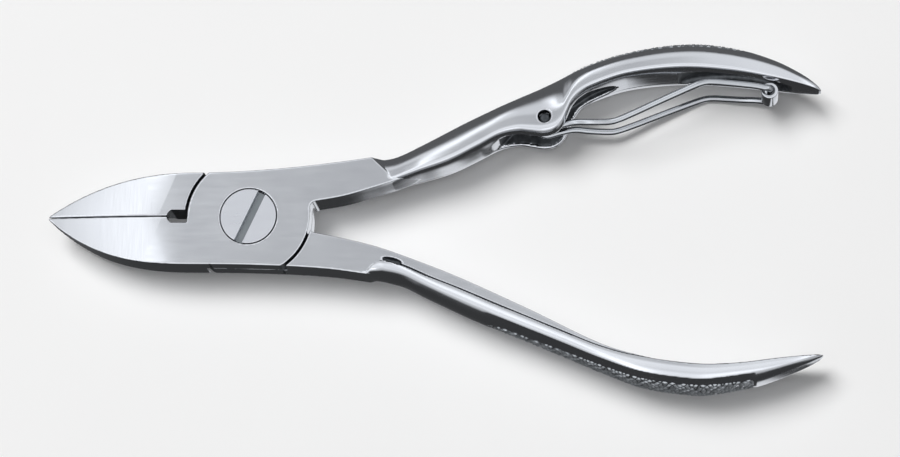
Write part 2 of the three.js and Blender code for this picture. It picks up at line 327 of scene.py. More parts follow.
springHalf = {
    "jaw": (7.6, 2.8),  # depth and fullness of the jaw's outer edge
    "grindSoft": 1.4,  # reach of the soft edge where the ground face starts
    "jawSide": [(-7.7, -7.6), (-1.6, -7.65), (6.4, -7.9), (13, -8.35), (18.5, -9.1)],
    "handleSide": [(-7.7, 6.95), (-1.6, 7.15), (6.2, 7.75), (13.9, 8.65), (18.7, 9.35)],
    "outer": [(12, 8.4), (18.7, 9.4), (22.4, 9.9), (26.3, 11.7), (33.3, 15.5), (43, 20.2), (51.8, 24.5),
              (59.7, 26.75), (67.5, 27.65), (74.3, 26.9), (80.2, 25), (85, 22.5), (87.3, 20.7)],
    "inner": [(9.6, 2.3), (14.6, 3.2), (20, 4.8), (26.3, 6.7), (30.9, 8.2), (35.4, 10.5), (38.5, 12.2),
              (41.2, 12.8), (43.2, 12.6), (45, 12.4), (46.8, 12.8), (48, 13.9), (48.7, 15.5), (49.4, 17.2),
              (50.5, 18.6), (52.6, 19.9), (57.9, 21.7), (65.7, 22.55), (73, 22.2), (80, 21.3), (87.3, 20.2)],
    "half": [(9.6, 2.2), (17, 2.4), (20.5, 2.7), (22, 2.95), (24, 3.4), (26.5, 3.82), (30, 4.12),
             (35, 4.3), (45, 4.4), (60, 4.8), (68, 4.9), (75, 4.6), (80, 3.9), (84, 2.9), (86.4, 1.8),
             (87.3, 1)],
    "powers": (4.5, 2.6, 3, 2.2),  # fullness toward the inner side, outer side, front and inner rear
    "crest": 0.3,  # where across the handle its top line runs, from the inner side
    "tilt": 0.17,  # how the face slopes away outside that line
    "fall": (0.0, 1.4),  # slope of the plate's end on the inner and outer side
    "sink": 0.9,  # how far the plate's inner wall has sunk into the handle at its end
    "rootBlend": (0.1, 0.5, 22, 4),  # rounding there: at first, added, from where, over what length
    "shoulder": ((18.7, 9.35), (21.2, 6.95)),  # edge where the plate's face ends
    "ends": (15, 87.3),
    "grip": (48, 75.5),
    "gripHalf": [(48, 1.6), (56, 2.8), (64, 3.6), (70, 3.6), (75.5, 2.8)],
    "channel": (65.5, 82.8),
    "channelDepth": [(65, 0.1), (67.5, 1.1), (72, 1.9), (78, 1.9), (80.6, 1.2), (82.8, 0.2)],
    "channelHalf": [(65, 2.6), (70, 3.3), (78, 2.7), (80.6, 2.2), (82.8, 1.2)],
    "channelRound": (0.8, 0.15),  # rounding of its corners and of its rim
    "lugDrop": [(36.5, 0), (41, 0.3), (45.5, 0.5), (48.5, 0.3), (50.5, 0)],  # rear wall of the seat
    "seatFloor": [(36.9, 10.4), (38.1, 12.4), (41.2, 15.8), (43.3, 17.6), (45.3, 18.1), (48.6, 18.7),
                  (51.6, 20.6), (53.5, 21.4), (55.4, 21.6), (56.2, 21.2)],
    "seatEnds": (37, 39.6, 50.6, 56),  # left end, full width from and to, right end
    "seatHalf": 2.5,
    "seatThin": 0.001,  # keeps the seat's ends from closing, as a squared share of its width
    "seatRound": (0.3, 0.5),
    "wallLap": (1, 0.3),  # how far the rear wall reaches into the handle and into the seat
    "wallBlend": 0.05,
    "pinHole": 1.0,
    "pinHoleEdge": 0.25,
}

plainHalf = {
    "jaw": (6.95, 2.4),
    "grindSoft": 0.05,
    "jawSide": springHalf["handleSide"],
    "handleSide": springHalf["jawSide"],
    "outer": [(10, -8.1), (18.5, -9.1), (21.2, -9.55), (24, -10.3), (26.9, -11.75), (35.2, -15.65),
              (48.1, -20.9), (54.3, -23.5), (60.4, -25.8), (66.6, -26.8), (70, -26.9), (75.7, -25.9),
              (78.8, -25.1), (84.8, -22.6), (87.4, -21.2)],
    "inner": [(9.9, -2.5), (15.1, -3.55), (20.3, -4.9), (25.4, -6.7), (32.7, -9.6), (43.6, -14.6),
              (54.4, -19.8), (60.5, -21.6), (66.6, -22.6), (72.7, -22.7), (80, -22)],
    "ribInner": [(18.5, -8.8), (19.6, -7.5), (21, -7), (24.4, -8), (28.3, -9.7), (32.6, -11.4),
                 (39, -14.1), (48.2, -17.9), (54.2, -20.3), (60.2, -21.85), (69.1, -23), (75, -22.75),
                 (80, -22), (87.4, -20.9)],
    "half": [(17.5, 2.6), (18.6, 2.85), (19.8, 3.3), (21.5, 3.8), (25, 4.15), (32, 4.3), (45, 4.5),
             (60, 4.8), (68, 4.9), (75, 4.6), (80, 3.9), (84, 2.9), (86.4, 1.8), (87.4, 1)],
    "powers": (4, 2.5, 3, 3),
    "crest": 0.12,
    "tilt": 0.2,
    "fall": (0.9, 1.2),
    "sink": 0,
    "shoulder": ((18.5, 9.07), (20.7, 6.6)),
    "ends": (17.8, 87.4),
    "grip": (36.5, 77.5),
    "gripHalf": [(36.5, 1), (45, 1.9), (54, 2.8), (62, 3.3), (70, 3.4), (77.5, 2.7)],
    "strip": (20.4, 76),  # the flat strip beside the rib starts and ends here
    "groove": [(21, 0.26), (30, 0.2), (50, 0.2), (76, 0.12)],  # half width of the line beside the rib
    "grooveEnds": (21.6, 76),
    "grooveDepth": 1.6,  # in half widths
    "scoop": ((22.4, 7.0, 3.2), (1.7, 0.5, 1.0), -14),  # centre, half sizes and slant of the hollow
    "seam": 0.1,  # rounding where rib, strip, groove and hollow meet
}

handles = {
    "endRound": 0.5,  # rounding of both ends
    "tiltFade": (0.8, 6),  # share of the face's slope lost past the grip, and over what length
}

grip = {
    "pitch": 1.15,
    "height": 0.26,
    "slant": 0.8,  # lean of the ridges, the second set leaning the other way
    "wander": (0.26, 0.17),  # how far the ridges stray, in broad and fine waves
    "waves": ((1.3, 1.1), (3.7, 2.9)),  # how close those waves are, along and across
    "crown": (1.5, 0.8),  # fullness of a ridge's top and flanks
    "fade": (0.5, 0.35),  # the ridges fade out this far from the ends and from the sides
    "border": 0.45,  # how deep the skin's border lies in the handle
    "sink": 0.2,  # how far the handle is cut back under the knurling
    "ramp": (3, 0.8),  # length over which that cut starts and ends
    "across": (0.6, 0.12),  # share of the handle's width where it starts, and over what share
    "step": (0.2, 0.1),  # between rows of points, quick and full
    "row": (45, 91),  # points in a row, quick and full
    "samples": 400,  # points on a slice's outline, before they are spaced evenly
}


def jawSideOf(part, turn):  # outer edge of the jaw, running on as the edge of the plate
    depth, power = part["jaw"]
    plateEdge = edgeOf(part, "jawSide", turn)
    length = jaws["end"] - jaws["tip"]

    def edge(x):
        t = np.clip((x - jaws["tip"]) / length, 0, 1)
        return np.where(x < jaws["end"], -depth * (1 - (1 - t) ** power), plateEdge(x))

    return edge


def jawPocket(x, y):  # relief pocket at the inner end of the cutting edges
    left, right, half = jaws["pocket"]
    flat, steep = jaws["pocketCorner"]
    pocket = meet(outside(x, left, right), np.abs(y) - half, jaws["pocketRound"][0])
    return np.maximum(pocket, (np.abs(y) - x + left - flat) * steep)


def jawShape(part, body, x, y, z):  # y runs away from the jaw; z is the tool's own
    turn = math.radians(jaws["grindTurn"])
    along = -(x - jaws["grindStart"]) * math.cos(turn) - y * math.sin(turn)
    soft = part["grindSoft"]
    along = np.where(along < soft, (along + soft).clip(0) ** 2 / (4 * soft), along)
    slope, bend = jaws["grindDrop"]
    body = meet(body, z - plateHalf + slope * along + bend * along ** 2, jaws["keen"])
    start, rise = jaws["backRise"]
    body = meet(body, -z - plateHalf + rise * np.maximum(start - x, 0), jaws["keen"])
    lean = jaws["hollow"] * np.maximum(jaws["edgeLand"] - z, 0)
    bladeEnd = jaws["pocket"][0] + jaws["bladeLap"]
    body = meet(body, np.minimum(y + jaws["cutGap"] + lean, bladeEnd - x), jaws["keen"])
    return cut(body, jawPocket(x, y), jaws["pocketRound"][1])


def plateFall(part, turn, x, y):  # how far the plate's face drops past the edge where it ends
    (ax, ay), (bx, by) = part["shoulder"]
    past = ((x - ax) * (ay - by) + (y - ay) * (bx - ax)) / math.hypot(bx - ax, by - ay)
    low, high = part["fall"]
    fall = low + (high - low) * ((y - by + joint["fallSpan"]) / joint["fallSpan"]).clip(0)
    fall = np.where(y > by, high, fall)
    if "ribInner" in part:  # the flat strip doesn't drop
        rib = edgeOf(part, "ribInner", turn)
        fall = np.where(above(rib, x, y) > 0, fall, 0)
    return fall * past.clip(0)


def stripField(part, turn, inner, x, y):  # the flat strip that runs on beside the rib
    rib, crown = edgeOf(part, "ribInner", turn), edgeOf(part, "outer", turn)
    strip = meet(-above(inner, x, y), above(lambda v: (rib(v) + crown(v)) / 2, x, y), joint["edge"])
    return np.maximum(strip, outside(x, *part["strip"]))


def halfBlank(part, turn, x, y, z):  # jaw, plate and root of the handle; turn is -1 for the rear half
    y = turn * y
    outer, inner = edgeOf(part, "handleSide", turn), edgeOf(part, "inner", turn)
    radius = np.hypot(x, y)
    band = np.maximum(above(outer, x, y), -above(jawSideOf(part, turn), x, y))
    jawArea = np.maximum(y + jaws["cutGap"], x - joint["jawEnd"])
    rootStart, rootEnd = joint["root"]
    sink = part["sink"] * ((x - rootStart) / (rootEnd - rootStart)).clip(0, 1) ** 2
    rootArea = np.maximum(sink - above(inner, x, y), joint["handleStart"] - x)
    area = join(join(radius - joint["plateRadius"], rootArea, joint["crotch"]), jawArea)
    area = meet(band, area, joint["edge"])
    area = np.maximum(area, x - rootEnd)
    if "ribInner" in part:
        area = join(area, stripField(part, turn, inner, x, y))
    body = meet(area, np.abs(z) - plateHalf + plateFall(part, turn, x, y), joint["edge"])
    overlap = np.maximum(radius - joint["shoulderRadius"], turn * z - joint["lapGap"])
    body = cut(body, overlap, joint["lapEdge"])
    return jawShape(part, body, x, y, z)


def gripDepth(part, inner, outer, x, y):  # the handle is cut back on its outer side, under the knurling
    start, end = part["grip"]
    first, last = grip["ramp"]
    ramp = np.clip((x - start) / first, 0, 1) * np.clip((end - x) / last, 0, 1)
    across = (y - inner(x)) / (outer(x) - inner(x))
    begin, span = grip["across"]
    return grip["sink"] * ramp * np.clip((across - begin) / span, 0, 1)


def tiltOf(part, x):  # the slope of the face fades out toward the tip
    fade, span = handles["tiltFade"]
    return part["tilt"] * (1 - fade * np.clip((x - part["grip"][1]) / span, 0, 1))


def springHandle(x, y, z):
    inner, outer = through(springHalf["inner"]), through(springHalf["outer"])
    half = through(springHalf["half"])
    look = springHalf["powers"], springHalf["crest"], tiltOf(springHalf, x)
    handle = bar(x, y, z, inner, outer, half, *look) + gripDepth(springHalf, inner, outer, x, y)
    drop = through(springHalf["lugDrop"])
    intoHandle, intoSeat = springHalf["wallLap"]
    wall = bar(x, y, z, lambda v: inner(v) - drop(v), outer, half, *look)
    wallEnd = np.maximum(above(lambda v: inner(v) + intoHandle, x, y), z + springHalf["seatHalf"] - intoSeat)
    handle = join(handle, np.maximum(wall, wallEnd), springHalf["wallBlend"])
    return meet(handle, outside(x, *springHalf["ends"]), handles["endRound"])


def seatWidth(x):  # half the width of the seat, rounded off at both ends
    left, full, narrow, right = springHalf["seatEnds"]
    close = np.maximum((full - x) / (full - left), (x - narrow) / (right - narrow)).clip(0, 1)
    return springHalf["seatHalf"] * np.sqrt(np.maximum(1 - close ** 2, springHalf["seatThin"]))


def channelField(x, y, z):  # the track for the roller in the handle's inner side
    inner, depth = through(springHalf["inner"]), through(springHalf["channelDepth"])
    half = through(springHalf["channelHalf"])(x)
    corner = springHalf["channelRound"][0]
    channel = meet(above(lambda v: inner(v) + depth(v), x, y), np.abs(z) - half, corner)
    return meet(channel, outside(x, *springHalf["channel"]), corner)


def seatField(x, y, z):  # the slot that holds the spring's eyes
    floor = above(through(springHalf["seatFloor"]), x, y)
    seat = meet(floor, np.abs(z) - seatWidth(x), springHalf["seatRound"][0])
    return np.maximum(seat, outside(x, *springHalf["seatEnds"][::3]))


def frontHalfField(x, y, z):
    least, more, start, span = springHalf["rootBlend"]
    blend = least + more * ((x - start) / span).clip(0, 1)
    body = join(halfBlank(springHalf, 1, x, y, z), springHandle(x, y, z), blend)
    body = cut(body, channelField(x, y, z), springHalf["channelRound"][1])
    body = cut(body, seatField(x, y, z), springHalf["seatRound"][1])
    clear = joint["holeClearance"]
    radius = np.hypot(x, y)
    overlap = np.maximum(radius - joint["shoulderRadius"], z - joint["lapGap"])
    body = cut(body, overlap, joint["handleLapEdge"])
    body = cut(body, radius - joint["shankRadius"] - clear, joint["holeEdge"])
    counterbore = np.maximum(radius - headRadius - clear, joint["headSeat"] - clear - z)
    body = cut(body, counterbore, joint["holeEdge"])
    pinHole = np.hypot(x - pinCentre[0], y - pinCentre[1]) - springHalf["pinHole"]
    return cut(body, pinHole, springHalf["pinHoleEdge"])


def scoopField(x, y, z):  # the small hollow at the start of the line beside the rib
    (sx, sy, sz), reach, lean = plainHalf["scoop"]
    lean = math.radians(lean)
    along = (x - sx) * math.cos(lean) + (y + sy) * math.sin(lean)
    across = (y + sy) * math.cos(lean) - (x - sx) * math.sin(lean)
    scoop = np.sqrt((along / reach[0]) ** 2 + (across / reach[1]) ** 2 + ((z - sz) / reach[2]) ** 2) - 1
    return scoop * reach[1]


def grooveField(rib, x, y, z):
    width = through(plainHalf["groove"])(x)
    groove = np.maximum(np.abs(above(rib, x, y)) - width, plateHalf - plainHalf["grooveDepth"] * width - z)
    return np.maximum(groove, outside(x, *plainHalf["grooveEnds"]))


def backHalfField(x, y, z):
    seam = plainHalf["seam"]
    body = cut(halfBlank(plainHalf, -1, x, y, z), scoopField(x, y, z), seam)
    rib, outer = through(plainHalf["ribInner"]), through(plainHalf["outer"])
    handle = bar(x, y, z, rib, outer, through(plainHalf["half"]), plainHalf["powers"], plainHalf["crest"],
                 tiltOf(plainHalf, x))
    handle = handle + gripDepth(plainHalf, rib, outer, x, y)
    handle = meet(handle, outside(x, *plainHalf["ends"]), handles["endRound"])
    body = cut(join(body, handle, seam), grooveField(rib, x, y, z), seam)
    return cut(body, np.hypot(x, y) - joint["shankRadius"] - joint["holeClearance"], joint["holeEdge"])


# the other pieces

screw = {
    "slotWidth": 1.25,
    "slotDepth": 0.9,
    "slotAngle": 66.5,
    "slotOffset": 0.3,
    "slotEdge": 0.05,
    "edge": 0.12,
    "shankLap": 0.3,  # how far the shank runs up into the head
    "shankEdge": 0.15,
    "cell": 0.12,
}


def screwField(x, y, z):
    radius = np.hypot(x, y)
    head = meet(radius - headRadius, np.maximum(z - plateHalf, joint["headSeat"] - z), screw["edge"])
    shankEnds = np.maximum(-z - plateHalf, z - joint["headSeat"] - screw["shankLap"])
    shank = meet(radius - joint["shankRadius"], shankEnds, screw["shankEdge"])
    angle = math.radians(screw["slotAngle"])
    across = y * math.cos(angle) - x * math.sin(angle) + screw["slotOffset"]
    slot = np.maximum(np.abs(across) - screw["slotWidth"] / 2, plateHalf - screw["slotDepth"] - z)
    return cut(join(head, shank), slot, screw["slotEdge"])


sharpAngle = math.radians(35)  # edges of turned pieces steeper than this are left sharp
mergeWithin = 1e-7  # metres


def turned(name, profile, centre, sides):  # radius and height pairs turned about z, closed on themselves
    ring = np.linspace(0, 2 * math.pi, sides, endpoint=False)
    points = [(centre[0] + r * math.cos(a), centre[1] + r * math.sin(a), centre[2] + z)
              for a in ring for r, z in profile]
    count = len(profile)
    faces = []
    for i in range(sides):
        for k in range(count):
            a, b = i * count, (i + 1) % sides * count
            n = (k + 1) % count
            faces.append((a + k, b + k, b + n, a + n))
    obj = addMesh(name, points, faces)
    tidy = bmesh.new()
    tidy.from_mesh(obj.data)
    bmesh.ops.remove_doubles(tidy, verts=tidy.verts, dist=mergeWithin)
    bmesh.ops.recalc_face_normals(tidy, faces=tidy.faces)
    tidy.to_mesh(obj.data)
    tidy.free()
    obj.data.set_sharp_from_angle(angle=sharpAngle)
    return obj


def rounded(radius, z, bend, count=5):  # quarter round from the side up to the end, for a profile
    angles = np.linspace(0, math.pi / 2, count)
    return [(radius - bend + bend * math.cos(a), z - bend + bend * math.sin(a)) for a in angles]


roller = {"bore": 0.75, "edge": 0.18, "mouth": 0.1, "sides": 48}
pin = {"edge": 0.35, "sides": 40}


def bothWays(upper):  # a profile's upper half, mirrored to make the whole
    return upper + [(r, -z) for r, z in reversed(upper)]


def makeRoller():
    radius = (rollerHigh[0] - rollerLow[0]) / 2
    half = (rollerHigh[2] - rollerLow[2]) / 2
    mouth = [(roller["bore"] + roller["mouth"], half), (roller["bore"], half - roller["mouth"])]
    return turned("roller", bothWays(rounded(radius, half, roller["edge"]) + mouth), rollerCentre,
                  roller["sides"])


def makePin():
    radius = (pinHigh[0] - pinLow[0]) / 2
    half = (pinHigh[2] - pinLow[2]) / 2
    return turned("springPin", bothWays(rounded(radius, half, pin["edge"]) + [(0, half)]), pinCentre,
                  pin["sides"])


spring = {
    "wire": 0.5,  # half its thickness
    "eye": 1.4,  # radius of the eyes round the pin
    "turns": 0.9,
    "eyeInner": 0.62,  # height off the middle plane where an eye starts and ends
    "eyeOuter": 1.7,
    "points": (24, 6),  # on an eye and on the bend into the roller
    "smooth": (6, 8),  # steps round the wire and along it
    "legHalf": [(45.3, 1.7), (48.8, 1.9), (52, 2.4), (56, 2.8), (60, 3.3), (65, 3.9), (69, 4.3), (72, 4.2),
                (75.2, 4), (79.5, 3.4)],
    "bend": 0.75,
    "leg": [(45.3, 14), (46.5, 14.2), (48.2, 14.85), (49.5, 15.03), (52, 14.95), (55, 14.9), (56.2, 15.1),
            (58.2, 15.87), (61.7, 17.4), (65.4, 19), (68.8, 20.4), (70.2, 20.72), (72, 20.65), (75.2, 20.4),
            (79.5, 20)],
    "stations": [47.5, 49.5, 52, 54, 54.8, 55.6, 56.4, 58.2, 61.7, 65.4, 68, 69, 70, 71, 73, 75.2],
}


def springLine():  # middle line of the wire: eye, leg, bend into the roller, and the same back
    line = []
    eyePoints, bendPoints = spring["points"]
    for t in np.linspace(0, 1, eyePoints):
        angle = -math.pi / 2 - 2 * math.pi * spring["turns"] * (1 - t)
        height = spring["eyeInner"] + (spring["eyeOuter"] - spring["eyeInner"]) * t
        line.append((pinCentre[0] + spring["eye"] * math.cos(angle),
                     pinCentre[1] + spring["eye"] * math.sin(angle), height))
    leg, spread = through(spring["leg"]), through(spring["legHalf"])
    endX = rollerCentre[0] - spring["bend"]
    for x in spring["stations"] + [endX - spring["bend"]]:
        line.append((x, float(leg(x)), float(spread(x))))
    for angle in np.linspace(0, math.pi / 2, bendPoints):
        line.append((endX + spring["bend"] * math.sin(angle), rollerCentre[1],
                     float(spread(endX)) - spring["bend"] * (1 - math.cos(angle))))
    return line + [(x, y, -z) for x, y, z in reversed(line)]


def makeSpring():
    line = springLine()
    curve = bpy.data.curves.new("wireSpring", "CURVE")
    curve.dimensions = "3D"
    curve.bevel_depth = spring["wire"] * mm
    curve.bevel_resolution, curve.resolution_u = spring["smooth"]
    curve.use_fill_caps = True
    path = curve.splines.new("BEZIER")
    path.bezier_points.add(len(line) - 1)
    for point, place in zip(path.bezier_points, line):
        point.co = Vector(pivot + np.array(place) * mm)
        point.handle_left_type = point.handle_right_type = "AUTO"
    obj = bpy.data.objects.new("wireSpring", curve)
    bpy.context.scene.collection.objects.link(obj)
    return obj


def ridgesAt(length, s):  # knurling from 0 to 1, at a length along the handle and distances across it
    broad, fine = grip["wander"]
    (broadAlong, broadAcross), (fineAlong, fineAcross) = grip["waves"]
    wander = (broad * np.sin(length * broadAlong + s * broadAcross)
              + fine * np.sin(length * fineAlong - s * fineAcross))
    first = (length + s * grip["slant"] + wander) / grip["pitch"]
    second = (length - s * grip["slant"] - wander) / grip["pitch"]
    ridge = np.minimum(1 - np.abs(2 * (first % 1) - 1), 1 - np.abs(2 * (second % 1) - 1))
    full, power = grip["crown"]
    return np.clip(ridge * full, 0, 1) ** power


def evenSlice(part, reach, half, limitZ, around):  # points spaced evenly over a slice's outer side
    angle = np.linspace(-math.pi / 2, math.pi / 2, grip["samples"])
    y = reach * np.cos(angle) ** (2 / part["powers"][1])
    z = half * np.abs(np.sin(angle)) ** (2 / part["powers"][2]) - part["tilt"] * softened(y)
    z = z.clip(0) * np.sign(angle)
    arc = np.concatenate([[0], np.cumsum(np.hypot(np.diff(y), np.diff(z)))])
    arc -= arc[-1] / 2
    limit = np.interp(limitZ, z, arc)
    s = around * limit
    return s, limit, np.interp(s, arc, y), np.interp(s, arc, z)


def makeGrip(name, part, turn):  # knurled skin on the outer side of a handle, in place of its plain skin
    start, end = part["grip"]
    outer, half = through(part["outer"]), through(part["half"])
    inner = through(part.get("ribInner", part["inner"]))
    reachZ = through(part["gripHalf"])
    detail = 1
    step = grip["step"][detail]
    endFade, sideFade = grip["fade"]
    xs = np.arange(start, end + step, step)
    around = np.linspace(-1, 1, grip["row"][detail])
    points, depths = [], []
    length = 0
    last = None
    for x in xs:
        middle = inner(x) + part["crest"] * (outer(x) - inner(x))
        s, limit, y, z = evenSlice(part, abs(outer(x) - middle), half(x), reachZ(x), around)
        if last is not None:
            length += math.hypot(step, outer(x) - last)
        last = outer(x)
        ridge = ridgesAt(length, s)
        ends = min((x - start) / endFade, (end - x) / endFade, 1)
        fade = np.clip((1 - np.abs(around)) * limit / sideFade, 0, 1) * max(ends, 0)
        lift = (ridge - 1) * grip["height"] * fade - (1 - fade) * grip["border"]
        slopeY, slopeZ = np.gradient(y, s), np.gradient(z, s)
        points += [(x, middle + turn * (py + up * nz), pz - up * ny)
                   for py, pz, up, ny, nz in zip(y, z, lift, slopeY, slopeZ)]
        depths += list(ridge * fade)
    count = len(around)
    faces = [(i * count + j, (i + 1) * count + j, (i + 1) * count + j + 1, i * count + j + 1)[::turn]
             for i in range(len(xs) - 1) for j in range(count - 1)]
    obj = addMesh(name, points, faces)
    depth = obj.data.attributes.new("ridge", "FLOAT", "POINT")
    depth.data.foreach_set("value", np.array(depths, dtype=np.float32))
    report(f"{name}: {len(points)} points")
    return obj


# materials


def shaderOf(name, **sockets):
    material = bpy.data.materials.new(name)
    material.use_nodes = True
    shader = material.node_tree.nodes["Principled BSDF"]
    for socket, value in sockets.items():
        shader.inputs[socket.replace("_", " ")].default_value = value
    return material, material.node_tree, shader


def noise(tree, scale, detail, stretch=(1, 1, 1)):
    place = tree.nodes.new("ShaderNodeTexCoord")
    mapping = tree.nodes.new("ShaderNodeMapping")
    mapping.inputs["Scale"].default_value = stretch
    texture = tree.nodes.new("ShaderNodeTexNoise")
    texture.inputs["Scale"].default_value = scale
    texture.inputs["Detail"].default_value = detail
    tree.links.new(place.outputs["Object"], mapping.inputs["Vector"])
    tree.links.new(mapping.outputs["Vector"], texture.inputs["Vector"])
    return texture.outputs["Fac"]


def ranged(tree, value, low, high, start=0.3, end=0.7):
    node = tree.nodes.new("ShaderNodeMapRange")
    for socket, number in zip(("From Min", "From Max", "To Min", "To Max"), (start, end, low, high)):
        node.inputs[socket].default_value = number
    tree.links.new(value, node.inputs["Value"])
    return node.outputs["Result"]


def bumped(tree, shader, height, strength, distance):
    bump = tree.nodes.new("ShaderNodeBump")
    bump.inputs["Strength"].default_value = strength
    bump.inputs["Distance"].default_value = distance * mm
    tree.links.new(height, bump.inputs["Height"])
    tree.links.new(bump.outputs["Normal"], shader.inputs["Normal"])


def tinted(tree, shader, value, dark, light):
    mix = tree.nodes.new("ShaderNodeMix")
    mix.data_type = "RGBA"
    mix.inputs["A"].default_value = (*dark, 1)
    mix.inputs["B"].default_value = (*light, 1)
    tree.links.new(value, mix.inputs["Factor"])
    tree.links.new(mix.outputs["Result"], shader.inputs["Base Color"])


steels = {  # scale and stretch are the patches', lines the same for the fine scratches
    "polished": {"light": (0.76, 0.77, 0.79), "dark": (0.70, 0.71, 0.735), "rough": (0.1, 0.2),
                 "scale": 90, "stretch": (1, 1, 1), "lines": (1500, (0.12, 1, 1)), "bump": 0.05},
    "satin": {"light": (0.74, 0.75, 0.775), "dark": (0.70, 0.71, 0.74), "rough": (0.26, 0.34),
              "scale": 260, "stretch": (0.15, 1, 1), "lines": (5200, (0.05, 1, 1)), "bump": 0.1},
    "ground": {"light": (0.8, 0.81, 0.83), "dark": (0.75, 0.76, 0.785), "rough": (0.16, 0.24),
               "scale": 260, "stretch": (1, 0.15, 1), "lines": (5200, (1, 0.05, 1)), "bump": 0.1},
    "wire": {"light": (0.58, 0.6, 0.62), "dark": (0.48, 0.49, 0.51), "rough": (0.08, 0.18),
             "scale": 400, "stretch": (0.1, 1, 1), "lines": (4000, (0.04, 1, 1)), "bump": 0.15},
    # slot: painted shade, the darker steel on the floor of the screw's slot
    "slot": {"light": (0.3, 0.32, 0.33), "dark": (0.24, 0.26, 0.27), "rough": (0.35, 0.5),
             "scale": 500, "stretch": (1, 1, 1), "lines": (4000, (1, 1, 1)), "bump": 0.2},
    # dark: painted shade, a near-black steel laid on recesses, the gaps between the layers and the pin's ends
    # down in their holes
    "dark": {"light": (0.17, 0.18, 0.19), "dark": (0.07, 0.075, 0.08), "rough": (0.4, 0.6),
             "scale": 900, "stretch": (1, 1, 1), "lines": (4000, (1, 1, 1)), "bump": 0.3},
}
patchDetail = 5
scratchDetail = 3
scratchDepth = 0.004  # mm
scratchShare = 0.5  # of the roughness, the rest following the patches
knurl = {
    "dark": (0.2, 0.215, 0.225),  # in the valleys
    "light": (0.66, 0.68, 0.7),  # on the ridges
    "rough": (0.6, 0.46),  # valleys, ridges
    "edges": (0.1, 0.9),  # heights that count as valley and ridge
    "grain": (2500, 3),  # scale and detail of the bumps
    "bump": (0.35, 0.02),  # strength, and depth in mm
}
paper = {
    "dark": (0.84, 0.84, 0.84),
    "light": (0.85, 0.85, 0.85),
    "grain": (30, 3),
    "specular": 0.1,
    "size": 3,  # metres from the middle to an edge
    "below": 0.00002,  # metres under the steel, so the two never share a plane
}


def makeSteel(name):
    look = steels[name]
    material, tree, shader = shaderOf(name + "Steel", Metallic=1.0)
    patches = noise(tree, look["scale"], patchDetail, look["stretch"])
    lines = noise(tree, look["lines"][0], scratchDetail, look["lines"][1])
    tinted(tree, shader, ranged(tree, patches, 0, 1), look["dark"], look["light"])
    both = tree.nodes.new("ShaderNodeMath")
    both.operation = "MULTIPLY_ADD"
    both.inputs[1].default_value = scratchShare
    tree.links.new(lines, both.inputs[0])
    tree.links.new(ranged(tree, patches, 0, 1 - scratchShare, 0.0, 1.0), both.inputs[2])
    tree.links.new(ranged(tree, both.outputs["Value"], *look["rough"]), shader.inputs["Roughness"])
    bumped(tree, shader, lines, look["bump"], scratchDepth)
    return material


def makeKnurlSteel():
    material, tree, shader = shaderOf("knurledSteel", Metallic=1.0)
    ridge = tree.nodes.new("ShaderNodeAttribute")
    ridge.attribute_name = "ridge"
    height = ridge.outputs["Fac"]
    tinted(tree, shader, ranged(tree, height, 0, 1, *knurl["edges"]), knurl["dark"], knurl["light"])
    rough = ranged(tree, height, *knurl["rough"], *knurl["edges"])
    tree.links.new(rough, shader.inputs["Roughness"])
    bumped(tree, shader, noise(tree, *knurl["grain"]), *knurl["bump"])
    return material


def makeFloor():
    material, tree, shader = shaderOf("paper", Roughness=0.9, Emission_Color=(1, 1, 1, 1),
                                      Emission_Strength=0.08)
    shader.inputs["Specular IOR Level"].default_value = paper["specular"]
    tinted(tree, shader, ranged(tree, noise(tree, *paper["grain"]), 0, 1), paper["dark"], paper["light"])
    size = paper["size"]
    corners = [(-size, -size, 0), (size, -size, 0), (size, size, 0), (-size, size, 0)]
    mesh = bpy.data.meshes.new("floor")
    mesh.from_pydata(corners, [], [(0, 1, 2, 3)])
    mesh.materials.append(material)
    floor = bpy.data.objects.new("floor", mesh)
    floor.location.z = cadBox[0][2] - paper["below"]
    floor.visible_glossy = False
    bpy.context.scene.collection.objects.link(floor)


# light

lights = {
    "key": {"place": (-0.9, 0.9, 2.2), "size": (1.3, 1.3), "watts": 57.0},
    "overhead": {"place": (-0.2, 0.2, 2.6), "size": (2.8, 2.8), "watts": 21.0},
}
surround = {  # what the steel mirrors, as brightness over one coordinate of the direction looked in
    "dome": [(0.3, 0.0), (0.62, 1.0)],  # over z
    "window": [(-0.65, 0.4), (-0.45, 0.45), (-0.39, 0.7), (-0.35, 1.25), (-0.3, 1.55), (-0.26, 1.1),
               (-0.22, 0.6), (-0.17, 0.45), (-0.08, 0.46), (-0.02, 0.57), (0.06, 0.76), (0.3, 0.8)],  # over x
    "front": [(-0.75, 0.5), (-0.35, 0.95), (-0.05, 1.0), (0.15, 0.52), (0.25, 0.42), (0.36, 0.42),
              (0.6, 0.7)],  # over y
    "backWall": [(-0.2, 0.045), (0.3, 0.12)],  # over y
    "frontWall": {
        "toward": [(-0.75, 0.55), (-0.45, 0.0)],  # over y
        "over": [(0.0, 0.0), (0.25, 1.0)],  # over z
    },
    "sideWall": {
        "toward": [(0.55, 0.0), (0.8, 0.45)],  # over x, the same on both sides
        "over": [(-0.7, 0.0), (-0.3, 1.0)],  # over z
    },
    "card": {  # low bright card under the crotch
        "toward": (1, 0.35, 0),
        "spread": [(-0.068, 0.0), (-0.015, 1.0), (0.085, 1.0), (0.11, 0.0), (0.15, 0.0), (0.18, 1.0)],
        "over": [(-0.92, 0.75), (-0.8, 0.0)],  # over z
    },
    "tint": (0.965, 0.99, 1.03, 1),
}


def addLights():
    for name, light in lights.items():
        data = bpy.data.lights.new(name, "AREA")
        data.shape = "RECTANGLE"
        data.size, data.size_y = light["size"]
        data.energy = light["watts"]
        obj = bpy.data.objects.new(name, data)
        obj.location = light["place"]
        obj.rotation_euler = (-Vector(light["place"])).to_track_quat("-Z", "Y").to_euler()
        obj.visible_glossy = False
        bpy.context.scene.collection.objects.link(obj)


